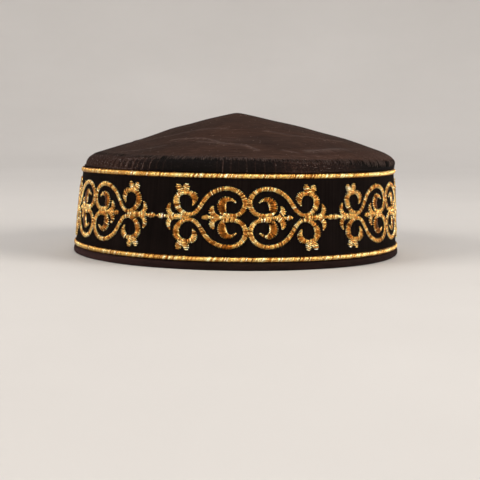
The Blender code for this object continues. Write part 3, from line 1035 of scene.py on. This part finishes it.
def thread_points(paths, aside, half_width, half_height):
    """The corners of many threads. paths are threads x stations x 3, and aside is across each thread."""
    tangent = np.empty_like(paths)
    tangent[:, 1:-1] = paths[:, 2:] - paths[:, :-2]
    tangent[:, 0] = paths[:, 1] - paths[:, 0]
    tangent[:, -1] = paths[:, -1] - paths[:, -2]
    tangent /= np.linalg.norm(tangent, axis=-1, keepdims=True)
    wide = aside[:, None, :] - (aside[:, None, :] * tangent).sum(-1, keepdims=True) * tangent
    wide /= np.linalg.norm(wide, axis=-1, keepdims=True)
    high = np.cross(tangent, wide)
    angles = 2 * math.pi * (np.arange(SIDES) + 0.25) / SIDES
    across = half_width[:, None, None, None] * np.cos(angles)[:, None] * wide[:, 1:-1, None, :]
    upwards = half_height[:, None, None, None] * np.sin(angles)[:, None] * high[:, 1:-1, None, :]
    rings = paths[:, 1:-1, None, :] + across + upwards
    count = len(paths)
    return np.concatenate([paths[:, :1], rings.reshape(count, -1, 3), paths[:, -1:]], axis=1)


def threads(paths, aside, half_width, half_height, tones):
    """Corners, faces, UVs and tones of many threads. tones are threads x stations."""
    stations = paths.shape[1]
    points = thread_points(paths, aside, half_width, half_height)
    count, corners = points.shape[:2]
    pattern = thread_faces(stations)
    faces = []
    for number in range(count):
        start = number * corners
        faces += [tuple(start + corner for corner in face) for face in pattern]
    lengths = np.linalg.norm(np.diff(paths, axis=1), axis=-1).cumsum(axis=1)
    lengths = np.concatenate([np.zeros((count, 1)), lengths], axis=1)
    spots = thread_uv(pattern, stations)
    along = lengths[:, spots[:, 0].astype(int)]
    uv = np.stack([along, np.broadcast_to(spots[:, 1], along.shape)], axis=-1).reshape(-1, 2)
    rings = np.repeat(np.arange(1, stations - 1), SIDES)
    station = np.concatenate([[0], rings, [stations - 1]])
    return points.reshape(-1, 3), faces, uv, tones[:, station].ravel()


def padding(points, closes):
    """Corners, faces, UVs and tones of the padding under stitches, a strip of rings of points."""
    rings, around = points.shape[:2]
    faces = []
    for ring in range(rings if closes else rings - 1):
        a = ring * around
        b = (ring + 1) % rings * around
        for k in range(around):
            after = (k + 1) % around
            faces.append((a + k, b + k, b + after, a + after))
    if not closes:
        faces.append(tuple(range(around)))
        faces.append(tuple((rings - 1) * around + k for k in reversed(range(around))))
    corners = sum(len(face) for face in faces)
    return points.reshape(-1, 3), faces, np.zeros((corners, 2)), np.full(rings * around, PADDING_TONE)


def joined(name, parts):
    """One object from several sets of corners, faces, UVs and tones."""
    points = np.concatenate([part[0] for part in parts])
    faces = []
    start = 0
    for part in parts:
        faces += [tuple(start + corner for corner in face) for face in part[1]]
        start += len(part[0])
    mesh = bpy.data.meshes.new(name)
    mesh.from_pydata(points.tolist(), [], faces)
    layer = mesh.uv_layers.new(name="UVMap")
    layer.data.foreach_set("uv", np.concatenate([part[2] for part in parts]).ravel())
    mesh.shade_smooth()
    piece = bpy.data.objects.new(name, mesh)
    bpy.context.scene.collection.objects.link(piece)
    mark(piece, "tone", np.clip(np.concatenate([part[3] for part in parts]), 0.0, 1.0))
    return piece


def drift(count, chance, reach):
    """A slow seeded wander from about -1 to 1, for tones that change from one bundle to the next."""
    spaced = chance.normal(0.0, 1.0, count // reach + 3)
    return np.interp(np.arange(count) / reach, np.arange(len(spaced)), spaced)


print("one thread has", len(thread_faces(7)), "faces")

# %% [markdown]
# The two gold lines are satin stitch too: slanted threads side by side over a cord that is a half
# round. Where the upper line was started and ended one thread is missing. Each thread has its own tone,
# width and height, drawn from a seeded generator, and its tone is painted paler over the top and darker
# at its ends, for light and shade. The cord is painted dark, for the shade between the threads.

# %% The gold lines
BORDER_PITCH = 0.60 * MM
BORDER_HEIGHT = 1.05 * MM
BORDER_SLANT = math.tan(math.radians(24))
THREAD_HEIGHT = 0.30 * MM
DIVE = 0.25 * MM
STITCH_STATIONS = np.array((-1.0, -0.90, -0.52, 0.0, 0.52, 0.90, 1.0))
STITCH_ARCH = np.array((0.0, 0.46, 0.86, 1.0, 0.86, 0.46, 0.0))
# painted light and shade along each thread: paler over the top of the cord, darker at the ends where it
# dives
BORDER_LIGHT_AND_SHADE = np.array((-0.25, -0.18, 0.06, 0.10, 0.06, -0.18, -0.25))
BORDER_TONE = 0.42
TONE_DRIFT = 0.04
CORE_COLUMNS = 240
UPPER_JOIN = math.radians(-17.7)


def flat_to_wall(flat, direction):
    """Bends flat work round the tape: along, up and out from the middle of the tape, at a direction."""
    middle = (lower_height + upper_height) / 2
    turn = direction + flat[..., 0] / tape_face(middle)
    height = middle + flat[..., 1]
    return on_the_wall(turn, tape_face(height) + flat[..., 2], height)


def border_stitches(height, seed, join):
    """The threads of a gold line. join is the direction where one is missing, if any."""
    chance = np.random.default_rng(seed)
    middle = (lower_height + upper_height) / 2
    length = 2 * math.pi * tape_face(middle)
    count = round(length / BORDER_PITCH)
    along = np.arange(count) * length / count
    if join is not None:
        gap = wrapped_angle(along / tape_face(middle) - join) * tape_face(middle)
        along = along[np.abs(gap) > BORDER_PITCH * 0.5]
        count = len(along)
    along = along + chance.normal(0, 0.05 * BORDER_PITCH, count)
    half = border_width / 2 * (1 + chance.normal(0, 0.04, count))
    lift = BORDER_HEIGHT * (1 + chance.normal(0, 0.05, count))
    paths = np.empty((count, len(STITCH_STATIONS), 3))
    paths[..., 0] = along[:, None] + BORDER_SLANT * half[:, None] * STITCH_STATIONS
    paths[..., 1] = height - middle + half[:, None] * STITCH_STATIONS
    paths[..., 2] = lift[:, None] * STITCH_ARCH - THREAD_HEIGHT
    paths[:, (0, -1), 2] = -DIVE
    aside = np.tile((1.0, 0.0, 0.0), (count, 1))
    tones = BORDER_TONE + TONE_DRIFT * drift(count, chance, 12) + 0.15 * chance.normal(0, 1, count)
    tones = tones[:, None] + BORDER_LIGHT_AND_SHADE
    half_width = np.full(count, BORDER_PITCH * 0.52)
    points, faces, uv, tones = threads(paths, aside, half_width, np.full(count, THREAD_HEIGHT), tones)
    return flat_to_wall(points, 0.0), faces, uv, tones


def border_cord(height):
    """The cord under a gold line's stitches, as one closed half round."""
    angles = np.radians((-90, -50, 0, 50, 90))
    turns = 2 * math.pi * np.arange(CORE_COLUMNS) / CORE_COLUMNS
    points = np.empty((CORE_COLUMNS, len(angles), 3))
    for k, angle in enumerate(angles):
        level = height + 0.42 * border_width * math.sin(angle)
        radius = tape_face(level) + 0.72 * BORDER_HEIGHT * math.cos(angle) - 0.1 * MM
        points[:, k] = on_the_wall(turns, np.full(CORE_COLUMNS, radius), np.full(CORE_COLUMNS, level))
    return padding(points, closes=True)


for name, height, seed, join in (
    ("upper_border", upper_height, 21, UPPER_JOIN),
    ("lower_border", lower_height, 22, None),
):
    line = joined(f"{name}_stitches", [border_cord(height), border_stitches(height, seed, join)])
    dress(line, gold_finish, "gold_thread", name)

# %% [markdown]
# The scrollwork repeats six times. Each repeat is charted on squared paper: the upper left
# quarter, which the other quarters mirror. A row says how far along and up the middle of a stroke runs
# and how wide the stitches are there. A curve through the rows gives the strokes their smooth sweep.

# %% The scrollwork's chart
CHART_LONG = 98
CHART_HIGH = 43
CHART_SLANT = -0.045
# the direction in degrees of each repeat's middle: sewn by hand, they lie a little off even sixths
SCROLL_DIRECTIONS = (0.40, 59.8, 119.8, 179.8, 239.6, 299.3)
CHART_STRETCH = 1.013
CRESCENT = (
    (-6.2, 8.0, 0.5), (-8.3, 9.3, 1.5), (-10.7, 9.5, 2.9), (-12.5, 8.3, 4.2), (-13.4, 6.3, 4.9),
    (-13.3, 4.5, 4.5), (-12.6, 3.1, 3.6),
)
SPIRAL = (
    (-13.6, 2.5, 1.3), (-12.4, 1.7, 1.9), (-10.6, 1.3, 2.3), (-8.2, 1.1, 2.2), (-5.7, 1.5, 2.2),
    (-3.5, 2.6, 2.4), (-1.9, 4.6, 2.6), (-1.2, 7.2, 2.6), (-1.8, 10.1, 2.6), (-4.0, 12.9, 2.4),
    (-7.4, 14.6, 2.3), (-11.3, 15.0, 2.3), (-15.2, 14.2, 2.3), (-18.9, 12.4, 2.3), (-21.7, 9.9, 2.3),
    (-23.9, 6.7, 2.2), (-25.9, 3.8, 2.1), (-28.3, 1.8, 2.0), (-31.0, 1.3, 2.0), (-33.8, 2.1, 2.2),
    (-36.2, 4.0, 2.7), (-37.7, 6.7, 3.6), (-37.7, 9.4, 3.6), (-36.2, 11.4, 2.6), (-33.8, 12.2, 1.9),
    (-31.4, 12.4, 2.0), (-29.4, 12.1, 3.0), (-28.0, 10.8, 3.6), (-27.6, 9.0, 2.8), (-28.1, 7.4, 1.6),
    (-28.6, 6.3, 0.4),
)
LEFT_PETAL = (
    (-35.0, 12.4, 2.4), (-35.8, 13.7, 3.0), (-36.3, 14.9, 3.7), (-36.6, 15.8, 3.4), (-36.7, 16.5, 1.9),
)
RIGHT_PETAL = (
    (-33.2, 12.4, 2.4), (-32.7, 13.8, 3.0), (-32.3, 15.1, 3.6), (-32.1, 16.1, 3.3), (-32.0, 16.9, 1.8),
)
MIDDLE_PETAL = ((-34.0, 12.4, 2.6), (-34.2, 13.5, 2.6), (-34.3, 14.5, 1.4))
INNER_HORN = (
    (-17.8, 5.7, 0.7), (-18.4, 4.5, 2.5), (-18.7, 3.1, 3.1), (-18.0, 1.8, 2.9), (-16.4, 0.7, 2.3),
    (-14.5, 0.2, 1.7),
)
OUTER_HORN = (
    (-41.3, 6.7, 0.5), (-42.0, 5.1, 2.0), (-42.2, 3.3, 2.7), (-41.2, 1.6, 2.6), (-39.5, 0.6, 2.3),
    (-37.5, 0.2, 1.9),
)
INNER_BUD = (
    (-23.4, 0.0, 1.2), (-22.4, 0.0, 2.3), (-21.2, 0.0, 2.7), (-19.9, 0.0, 1.5), (-17.5, 0.0, 1.7),
    (-14.0, 0.0, 1.7), (-9.5, 0.0, 1.4), (-6.0, 0.0, 1.1),
)
OUTER_BUD = (
    (-48.7, 0.0, 0.9), (-47.5, 0.0, 2.4), (-46.0, 0.0, 2.9), (-44.2, 0.0, 1.5), (-42.0, 0.0, 1.9),
    (-39.0, 0.0, 2.7), (-36.5, 0.0, 3.0), (-34.0, 0.0, 2.4), (-31.0, 0.0, 1.4),
)
# rows, height as a share of the full height, how much painted shade darkens the middle, whether it is
# mirrored up and down
STROKES = (
    (SPIRAL, 1.0, 0.22, True),
    (CRESCENT, 1.04, 0.56, True),
    (LEFT_PETAL, 0.88, 0.0, True),
    (RIGHT_PETAL, 0.88, 0.0, True),
    (MIDDLE_PETAL, 0.82, 0.1, True),
    (INNER_HORN, 0.92, 0.15, True),
    (OUTER_HORN, 0.92, 0.1, True),
    (INNER_BUD, 0.80, 0.1, False),
    (OUTER_BUD, 0.84, 0.1, False),
)
square_up = border_rise / CHART_HIGH
tape_girth = 2 * math.pi * tape_face((lower_height + upper_height) / 2)
square_along = tape_girth / len(SCROLL_DIRECTIONS) / CHART_LONG * CHART_STRETCH
print(f"a square is {square_along / MM:.3f} by {square_up / MM:.3f} mm")

# %% [markdown]
# A stroke is walked at the pitch of the stitches. At each step one thread goes across it, a little
# uneven, over a smooth padding of the same gold. A share for each stroke gives its middle painted shade,
# deep amber, and its rim a painted highlight, most of all on the crescents. One repeat has 700 to 800
# threads.

# %% The scrollwork
STITCH_PITCH = 0.74 * MM
STITCH_HEIGHT = 1.05 * MM
STITCH_SLANT = 0.16
STITCH_OVERHANG = 0.12 * MM
THREAD_SHARE = 0.43
STITCH_TONE = 0.56
# some threads have sunk between the others and lie in their shade
SUNK_SHARE = 0.20
SUNK_TONE = 0.25
# a painted highlight on each stroke's rim, and painted shade in the middle of wide strokes
STITCH_RIM_HIGHLIGHT = np.array((0.15, 0.22, 0.05, 0.0, 0.05, 0.22, 0.15))
STITCH_MIDDLE_SHADE = np.array((0.0, 0.10, 0.95, 1.0, 0.95, 0.10, 0.0))
PADDING_PITCH = 1.2 * MM
PADDING_SHARE = 0.74
# across as a share of the half width, and up as a share of the height
PADDING_SECTION = ((-0.86, -0.10), (-0.52, 0.78), (0.0, 1.0), (0.52, 0.78), (0.86, -0.10))


def walked(rows, spacing):
    """Middles, headings and widths at even spacing along a stroke, in metres."""
    rows = np.array(rows)
    place = np.linspace(0, len(rows) - 1, 24 * len(rows))
    x = smooth_curve(rows[:, 0], place) * square_along
    y = smooth_curve(rows[:, 1], place) * square_up
    width = smooth_curve(rows[:, 2], place) * square_up
    gone = np.concatenate([[0.0], np.hypot(np.diff(x), np.diff(y)).cumsum()])
    count = max(3, round(gone[-1] / spacing))
    steps = np.linspace(0, gone[-1], count)
    middle = np.stack([np.interp(steps, gone, x), np.interp(steps, gone, y)], axis=-1)
    heading = np.gradient(middle, axis=0)
    heading /= np.linalg.norm(heading, axis=-1, keepdims=True)
    return middle, heading, np.interp(steps, gone, width)


def stroke_height(width, lift_share):
    """How high the stitches stand: a narrow stroke is lower than a wide one."""
    return STITCH_HEIGHT * lift_share * np.clip(0.55 + width / (3 * MM), 0.6, 1.08)


def stroke_stitches(rows, lift_share, middle_shade, chance):
    middle, heading, width = walked(rows, STITCH_PITCH)
    count = len(middle)
    aside = np.stack([-heading[:, 1], heading[:, 0]], axis=-1)
    slant = STITCH_SLANT + chance.normal(0, 0.05, count)
    half = width / 2 + STITCH_OVERHANG + chance.normal(0, 0.05 * MM, count)
    lift = stroke_height(width, lift_share) * (1 + chance.normal(0, 0.05, count))
    across = half[:, None] * STITCH_STATIONS
    paths = np.empty((count, len(STITCH_STATIONS), 3))
    flat = middle[:, None] + across[..., None] * aside[:, None]
    flat += (across * slant[:, None])[..., None] * heading[:, None]
    paths[..., :2] = flat
    paths[..., 2] = lift[:, None] * STITCH_ARCH - THREAD_HEIGHT
    paths[:, (0, -1), 2] = -DIVE
    sideways = np.concatenate([heading, np.zeros((count, 1))], axis=-1)
    tones = STITCH_TONE + TONE_DRIFT * drift(count, chance, 6) + 0.14 * chance.normal(0, 1, count)
    tones -= SUNK_TONE * (chance.uniform(0, 1, count) < SUNK_SHARE)
    # painted shade in the middle of wide strokes, and a painted highlight on their rims
    shaded_middle = middle_shade * np.minimum(1.0, width / (0.7 * width.max())) ** 2
    tones = tones[:, None] + (1.0 + 1.6 * middle_shade) * STITCH_RIM_HIGHLIGHT - shaded_middle[:, None] * STITCH_MIDDLE_SHADE
    half_width = STITCH_PITCH * THREAD_SHARE * chance.uniform(0.85, 1.1, count)
    return threads(paths, sideways, half_width, np.full(count, THREAD_HEIGHT), tones)


def stroke_padding(rows, lift_share):
    """The padding under a stroke: a closed strip with a rounded top, narrower than the stitches."""
    middle, heading, width = walked(rows, PADDING_PITCH)
    aside = np.stack([-heading[:, 1], heading[:, 0]], axis=-1)
    lift = stroke_height(width, lift_share) * PADDING_SHARE
    points = np.empty((len(middle), len(PADDING_SECTION), 3))
    for k, (across, up) in enumerate(PADDING_SECTION):
        points[:, k, :2] = middle - across * (width / 2)[:, None] * aside
        points[:, k, 2] = lift * up
    return padding(points, closes=False)


def scroll_parts(chance):
    parts = []
    for rows, lift_share, middle_shade, mirrored_up in STROKES:
        for along_sign in (1, -1):
            for up_sign in (1, -1) if mirrored_up else (1,):
                flipped = [(along_sign * x, up_sign * y, width) for x, y, width in rows]
                parts.append(stroke_padding(flipped, lift_share))
                parts.append(stroke_stitches(flipped, lift_share, middle_shade, chance))
    return parts


for number, degrees in enumerate(SCROLL_DIRECTIONS):
    chance = np.random.default_rng(100 + number)
    direction = math.radians(degrees)
    bent = []
    for points, faces, uv, tones in scroll_parts(chance):
        slanted = points.copy()
        slanted[:, 0] += CHART_SLANT * points[:, 1]
        bent.append((flat_to_wall(slanted, direction), faces, uv, tones))
    scroll = joined(f"scroll_{number + 1}_stitches", bent)
    dress(scroll, gold_finish, "gold_thread", f"scroll_{number + 1}")

# %% [markdown]
# The crown's raw edge is overlocked: a dark thread zigzags over the fold, its points pricking the
# crown's top face. Each leg of the zigzag is one thread on the outline of the shoulder. A part of the
# legs, and all of them where the shoulder is light, are as brown as the cloth, so the black of the
# others follows the shoulder's painted shade.

# %% The overlock stitching
OVERLOCK_PITCH = 1.3 * MM
OVERLOCK_ABOVE = 1.3 * MM
OVERLOCK_BELOW = 2.2 * MM
OVERLOCK_LIFT = 0.16 * MM
OVERLOCK_HALF_WIDTH = 0.21 * MM
OVERLOCK_PALE = 0.5


def row_from_fold(turn, distance):
    """The outline's row at a distance from the fold along the cloth, towards the rim."""
    fold = np.interp(fold_row(turn), range(LAST_ROW + 1), row_places)
    return np.interp(fold + distance, row_places, range(LAST_ROW + 1))


def overlock_parts():
    chance = np.random.default_rng(9)
    count = round(2 * math.pi * crown_radius / OVERLOCK_PITCH)
    step = 2 * math.pi / count
    stations = np.array((0.0, 0.08, 0.3, 0.55, 0.78, 0.94, 1.0))
    legs = []
    for lean in (-0.5, 0.5):
        start = np.arange(count) * step + chance.normal(0, 0.12 * step, count)
        top = row_from_fold(start, -OVERLOCK_ABOVE * chance.uniform(0.5, 1.5, count))
        bottom = row_from_fold(start, OVERLOCK_BELOW * chance.uniform(0.7, 1.3, count))
        bottom = np.minimum(bottom, LAST_ROW - 0.15)
        turn = start[:, None] + lean * step * stations
        row = top[:, None] + (bottom - top)[:, None] * stations
        lift = np.tile(np.array((-1.6, 0.6, 1.0, 1.0, 1.0, 0.4, -2.0)) * OVERLOCK_LIFT, (count, 1))
        radius, height = lifted_outline(turn, row, lift)
        paths = on_the_crown(turn, radius, height)
        aside = np.stack([np.cos(start), np.sin(start), np.zeros(count)], axis=-1)
        # black legs are more common where the shoulder's table puts it in shadow, so their black partly
        # paints that shade
        dark = np.clip(shadowed(start, 1), 0.0, 1.0)
        pale = chance.uniform(0, 1, count) < OVERLOCK_PALE + 0.5 * (1.0 - dark)
        wide = OVERLOCK_HALF_WIDTH * (0.15 + 0.85 * dark) * chance.uniform(0.8, 1.2, count)
        wide = np.where(pale, 0.8 * wide, wide)
        tones = np.where(pale, chance.uniform(0.4, 1.0, count) * (0.4 + 0.6 * dark), 0.0)
        tones = np.tile(tones[:, None], (1, len(stations)))
        legs.append(threads(paths, aside, wide, 0.7 * wide, tones))
    return legs


overlock = joined("overlock_stitches", overlock_parts())
dress(overlock, overlock_finish, "wall_cloth", "crown")

# %% [markdown]
# The studio is a wide pale bowl: a round floor that curves up into a wall, so no edge shows behind the
# cap from any side. A circle is filled, its rim is extruded twice, outwards and up, and a bevel rounds
# the corner between floor and wall.

# %% The floor and the backdrop
FLOOR_RADIUS = 0.9
WALL_RADIUS = 2.4
BOWL_HEIGHT = 2.2
BOWL_CURVE = 1.3

floor_finish, tree, shader = new_finish("pale_floor", 0.9, specular=0.2)
mottle = noise(tree, "Object", 3.0, detail=4.0)
pale = ramp(tree, mottle, (0.3, (0.66, 0.64, 0.62)), (0.7, (0.70, 0.68, 0.66)))
complete(floor_finish, shader, pale)
bpy.ops.object.select_all(action="DESELECT")
bpy.ops.mesh.primitive_circle_add(vertices=96, radius=FLOOR_RADIUS, fill_type="NGON")
floor = bpy.context.object
floor.name = "studio_floor"
bpy.ops.object.mode_set(mode="EDIT")
bpy.ops.mesh.select_mode(type="EDGE")
bpy.ops.mesh.select_all(action="SELECT")
bpy.ops.mesh.region_to_loop()
bpy.ops.mesh.extrude_region_move()
bpy.ops.transform.resize(value=(WALL_RADIUS / FLOOR_RADIUS,) * 2 + (1.0,))
bpy.ops.mesh.extrude_region_move(TRANSFORM_OT_translate={"value": (0.0, 0.0, BOWL_HEIGHT)})
bpy.ops.object.mode_set(mode="OBJECT")
rim = [edge.index for edge in floor.data.edges if all(
    abs(floor.data.vertices[v].co.z) < MM and floor.data.vertices[v].co.xy.length > WALL_RADIUS - MM
    for v in edge.vertices)]
bpy.ops.object.mode_set(mode="EDIT")
bpy.ops.mesh.select_all(action="DESELECT")
bpy.ops.object.mode_set(mode="OBJECT")
for index in rim:
    floor.data.edges[index].select = True
bpy.ops.object.mode_set(mode="EDIT")
bpy.ops.mesh.bevel(offset=BOWL_CURVE, segments=24, affect="EDGES")
bpy.ops.mesh.select_all(action="SELECT")
bpy.ops.mesh.normals_make_consistent(inside=True)
bpy.ops.object.mode_set(mode="OBJECT")
bpy.ops.object.shade_smooth()
floor.data.materials.append(floor_finish)
print("floor:", len(floor.data.polygons), "faces")

# %% [markdown]
# The light is soft. Two large panels stand left and right of the cap, which puts the bright bands on
# the gold at the sides and leaves its front amber. A weaker panel above the camera fills the front, and
# one above and behind lights the crown's slopes.


# %% The lights
def add_panel(name, direction, distance, height, size, power, colour):
    """A square soft light at a direction round the cap, turned to the cap's middle."""
    data = bpy.data.lights.new(name, "AREA")
    data.shape = "SQUARE"
    data.size = size
    data.energy = power
    data.color = colour
    lamp = bpy.data.objects.new(name, data)
    angle = math.radians(direction)
    place = Vector((distance * math.sin(angle), -distance * math.cos(angle), height))
    aim = (Vector((0.0, 0.0, 0.03)) - place).to_track_quat("-Z", "Y")
    lamp.matrix_world = Matrix.Translation(place) @ aim.to_matrix().to_4x4()
    bpy.context.scene.collection.objects.link(lamp)


add_panel("left_panel", -62, 1.7, 0.80, 1.0, 24.0, (1.0, 0.95, 0.88))
add_panel("right_panel", 62, 1.7, 0.75, 1.0, 30.0, (1.0, 0.95, 0.88))
add_panel("front_panel", 0, 1.6, 1.3, 0.7, 1.5, (1.0, 0.96, 0.92))
add_panel("top_panel", 175, 1.2, 1.5, 1.0, 6.0, (1.0, 0.97, 0.94))
world = bpy.data.worlds.new("studio")
world.use_nodes = True
world.node_tree.nodes["Background"].inputs["Color"].default_value = (0.9, 0.92, 1.0, 1.0)
world.node_tree.nodes["Background"].inputs["Strength"].default_value = 0.30
bpy.context.scene.world = world
bpy.context.scene.view_settings.view_transform = "Standard"
print("lights:", len(bpy.data.lights))
